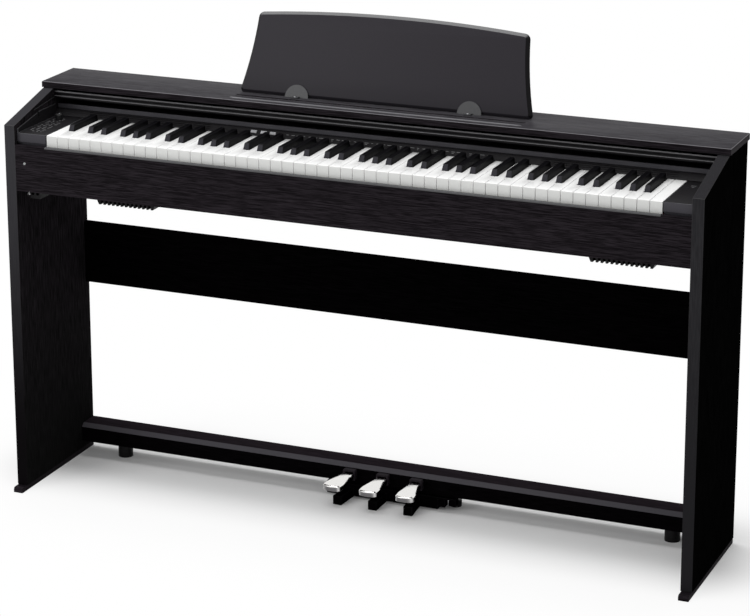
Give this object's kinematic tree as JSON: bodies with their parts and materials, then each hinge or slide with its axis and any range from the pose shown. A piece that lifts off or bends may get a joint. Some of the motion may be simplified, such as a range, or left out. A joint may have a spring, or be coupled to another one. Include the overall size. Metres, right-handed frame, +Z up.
{
  "type": "digital piano on stand",
  "caption": "Slim console digital piano with weighted keys, sliding key lid, leaning music rest and three pedals on a rail between flat side panels.",
  "frame": {"origin": "on the floor under the middle of the bounding box", "axes": "+X to the player's right along the keyboard, +Y away from the player, +Z up"},
  "size_m": [1.391, 0.299, 0.9599],
  "materials": {
    "black_wood": "dark wood-grain foil, satin",
    "black_plastic": "fine matte",
    "strip_plastic": "satin",
    "white_key": "gloss",
    "black_key": "semi-matte",
    "pedal_chrome": "polished",
    "dark_collar": "matte",
    "steel": "zinc plated",
    "felt": "felt",
    "rubber": "matte",
    "circuit": "satin",
    "disc": "satin",
    "lamp": "clear",
    "button": "satin"
  },
  "bodies": {
    "cabinet": {"left_side_panel": "black_wood", "right_side_panel": "black_wood", "foot_skids": "black_wood", "top_board": "black_wood", "cabinet_back": "black_wood", "key_bed": "black_wood", "front_board": "black_wood", "left_end_block": "black_plastic", "right_end_block": "black_plastic", "control_panel": "black_plastic", "panel_trim": "strip_plastic", "rear_panel": "black_wood", "pedal_rail": "black_wood", "rail_feet": "black_plastic", "music_ledge": "black_plastic", "key_frame": "black_plastic", "key_cushions": "felt", "key_pivot_rod": "steel", "main_circuit_board": "circuit", "rear_jack_plate": "black_plastic", "headphone_box": "black_plastic", "speakers": "black_plastic", "speaker_grilles": "black_plastic", "pilot_lamp": "lamp", "side_brackets": "steel", "assembly_screws": "steel", "pedal_housing": "black_plastic", "pedal_collars": "dark_collar", "pedal_pivot_rod": "steel", "lid_bumpers": "rubber"},
    "lid_front": {"lid_front_leaf": "black_wood", "lid_handle": "strip_plastic"},
    "lid_rear": {"lid_rear_leaf": "black_wood"},
    "music_desk": {"music_rest": "black_wood", "music_rest_discs": "disc"},
    "volume": {"volume_knob": "black_plastic"},
    "power": {"power_button": "button"},
    "metronome": {"metronome_button": "button"},
    "transpose": {"transpose_button": "button"},
    "voice": {"voice_button": "button"},
    "left_pedal_lever": {"left_pedal": "pedal_chrome"},
    "middle_pedal_lever": {"middle_pedal": "pedal_chrome"},
    "right_pedal_lever": {"right_pedal": "pedal_chrome"},
    "adjuster_foot": {"pedal_adjuster": "black_plastic"},
    "low_whites": {"low_white_keys": "white_key"},
    "low_blacks": {"low_black_keys": "black_key"},
    "high_whites": {"high_white_keys": "white_key"},
    "high_blacks": {"high_black_keys": "black_key"},
    "middle_c": {"middle_c_key": "white_key"},
    "middle_c_sharp": {"middle_c_sharp_key": "black_key"},
    "middle_d": {"middle_d_key": "white_key"},
    "middle_d_sharp": {"middle_d_sharp_key": "black_key"},
    "middle_e": {"middle_e_key": "white_key"},
    "middle_f": {"middle_f_key": "white_key"},
    "middle_f_sharp": {"middle_f_sharp_key": "black_key"},
    "middle_g": {"middle_g_key": "white_key"},
    "middle_g_sharp": {"middle_g_sharp_key": "black_key"},
    "middle_a": {"middle_a_key": "white_key"},
    "middle_a_sharp": {"middle_a_sharp_key": "black_key"},
    "middle_b": {"middle_b_key": "white_key"}
  },
  "joints": [
    {"name": "low_white_keys_press", "type": "hinge", "parent": "cabinet", "child": "low_whites", "pos_m": [0.004, 0.118, 0.716], "axis": [1, 0, 0], "range_deg": [0, 2.4], "stiffness_Nm_per_rad": 34.5, "springref_deg": -8.59},
    {"name": "low_black_keys_press", "type": "hinge", "parent": "cabinet", "child": "low_blacks", "pos_m": [0.004, 0.118, 0.716], "axis": [1, 0, 0], "range_deg": [0, 2.8], "stiffness_Nm_per_rad": 24, "springref_deg": -8.59},
    {"name": "high_white_keys_press", "type": "hinge", "parent": "cabinet", "child": "high_whites", "pos_m": [0.004, 0.118, 0.716], "axis": [1, 0, 0], "range_deg": [0, 2.4], "stiffness_Nm_per_rad": 33, "springref_deg": -8.59},
    {"name": "high_black_keys_press", "type": "hinge", "parent": "cabinet", "child": "high_blacks", "pos_m": [0.004, 0.118, 0.716], "axis": [1, 0, 0], "range_deg": [0, 2.8], "stiffness_Nm_per_rad": 22.5, "springref_deg": -8.59},
    {"name": "middle_c_key_press", "type": "hinge", "parent": "cabinet", "child": "middle_c", "pos_m": [0.004, 0.118, 0.716], "axis": [1, 0, 0], "range_deg": [0, 2.4], "stiffness_Nm_per_rad": 1.5, "springref_deg": -8.59},
    {"name": "middle_c_sharp_key_press", "type": "hinge", "parent": "cabinet", "child": "middle_c_sharp", "pos_m": [0.004, 0.118, 0.716], "axis": [1, 0, 0], "range_deg": [0, 2.8], "stiffness_Nm_per_rad": 1.5, "springref_deg": -8.59},
    {"name": "middle_d_key_press", "type": "hinge", "parent": "cabinet", "child": "middle_d", "pos_m": [0.004, 0.118, 0.716], "axis": [1, 0, 0], "range_deg": [0, 2.4], "stiffness_Nm_per_rad": 1.5, "springref_deg": -8.59},
    {"name": "middle_d_sharp_key_press", "type": "hinge", "parent": "cabinet", "child": "middle_d_sharp", "pos_m": [0.004, 0.118, 0.716], "axis": [1, 0, 0], "range_deg": [0, 2.8], "stiffness_Nm_per_rad": 1.5, "springref_deg": -8.59},
    {"name": "middle_e_key_press", "type": "hinge", "parent": "cabinet", "child": "middle_e", "pos_m": [0.004, 0.118, 0.716], "axis": [1, 0, 0], "range_deg": [0, 2.4], "stiffness_Nm_per_rad": 1.5, "springref_deg": -8.59},
    {"name": "middle_f_key_press", "type": "hinge", "parent": "cabinet", "child": "middle_f", "pos_m": [0.004, 0.118, 0.716], "axis": [1, 0, 0], "range_deg": [0, 2.4], "stiffness_Nm_per_rad": 1.5, "springref_deg": -8.59},
    {"name": "middle_f_sharp_key_press", "type": "hinge", "parent": "cabinet", "child": "middle_f_sharp", "pos_m": [0.004, 0.118, 0.716], "axis": [1, 0, 0], "range_deg": [0, 2.8], "stiffness_Nm_per_rad": 1.5, "springref_deg": -8.59},
    {"name": "middle_g_key_press", "type": "hinge", "parent": "cabinet", "child": "middle_g", "pos_m": [0.004, 0.118, 0.716], "axis": [1, 0, 0], "range_deg": [0, 2.4], "stiffness_Nm_per_rad": 1.5, "springref_deg": -8.59},
    {"name": "middle_g_sharp_key_press", "type": "hinge", "parent": "cabinet", "child": "middle_g_sharp", "pos_m": [0.004, 0.118, 0.716], "axis": [1, 0, 0], "range_deg": [0, 2.8], "stiffness_Nm_per_rad": 1.5, "springref_deg": -8.59},
    {"name": "middle_a_key_press", "type": "hinge", "parent": "cabinet", "child": "middle_a", "pos_m": [0.004, 0.118, 0.716], "axis": [1, 0, 0], "range_deg": [0, 2.4], "stiffness_Nm_per_rad": 1.5, "springref_deg": -8.59},
    {"name": "middle_a_sharp_key_press", "type": "hinge", "parent": "cabinet", "child": "middle_a_sharp", "pos_m": [0.004, 0.118, 0.716], "axis": [1, 0, 0], "range_deg": [0, 2.8], "stiffness_Nm_per_rad": 1.5, "springref_deg": -8.59},
    {"name": "middle_b_key_press", "type": "hinge", "parent": "cabinet", "child": "middle_b", "pos_m": [0.004, 0.118, 0.716], "axis": [1, 0, 0], "range_deg": [0, 2.4], "stiffness_Nm_per_rad": 1.5, "springref_deg": -8.59},
    {"name": "left_pedal_press", "type": "hinge", "parent": "cabinet", "child": "left_pedal_lever", "pos_m": [-0.0705, 0.125, 0.048], "axis": [1, 0, 0], "range_deg": [0, 8], "stiffness_Nm_per_rad": 12, "springref_deg": -4.58},
    {"name": "middle_pedal_press", "type": "hinge", "parent": "cabinet", "child": "middle_pedal_lever", "pos_m": [0, 0.125, 0.048], "axis": [1, 0, 0], "range_deg": [0, 8], "stiffness_Nm_per_rad": 12, "springref_deg": -4.58},
    {"name": "right_pedal_press", "type": "hinge", "parent": "cabinet", "child": "right_pedal_lever", "pos_m": [0.0705, 0.125, 0.048], "axis": [1, 0, 0], "range_deg": [0, 8], "stiffness_Nm_per_rad": 12, "springref_deg": -4.58},
    {"name": "lid_front_slide", "type": "slide", "parent": "cabinet", "child": "lid_front", "axis": [0, -0.9945, -0.1045], "range_m": [0, 0.16]},
    {"name": "lid_rear_slide", "type": "slide", "parent": "cabinet", "child": "lid_rear", "axis": [0, -0.9945, -0.1045], "range_m": [0, 0.08]},
    {"name": "music_rest_lift", "type": "slide", "parent": "cabinet", "child": "music_desk", "axis": [0, 0, 1], "range_m": [0, 0.05]},
    {"name": "volume_knob_turn", "type": "hinge", "parent": "cabinet", "child": "volume", "pos_m": [-0.647, 0, 0.73], "axis": [0, 0, 1], "range_deg": [-140, 140]},
    {"name": "power_button_press", "type": "slide", "parent": "cabinet", "child": "power", "axis": [0, 0, -1], "range_m": [0, 0.001], "stiffness_N_per_m": 400, "springref_m": -0.0015},
    {"name": "metronome_button_press", "type": "slide", "parent": "cabinet", "child": "metronome", "axis": [0, 0.6919, -0.722], "range_m": [0, 0.0008], "stiffness_N_per_m": 300, "springref_m": -0.001},
    {"name": "transpose_button_press", "type": "slide", "parent": "cabinet", "child": "transpose", "axis": [0, 0.6919, -0.722], "range_m": [0, 0.0008], "stiffness_N_per_m": 300, "springref_m": -0.001},
    {"name": "voice_button_press", "type": "slide", "parent": "cabinet", "child": "voice", "axis": [0, 0.6919, -0.722], "range_m": [0, 0.0008], "stiffness_N_per_m": 300, "springref_m": -0.001},
    {"name": "pedal_adjuster_raise", "type": "slide", "parent": "cabinet", "child": "adjuster_foot", "axis": [0, 0, 1], "range_m": [0, 0.008]}
  ],
  "couplings": [
    {"joint": "lid_rear_slide", "follows": "lid_front_slide", "ratio": 0.5}
  ]
}
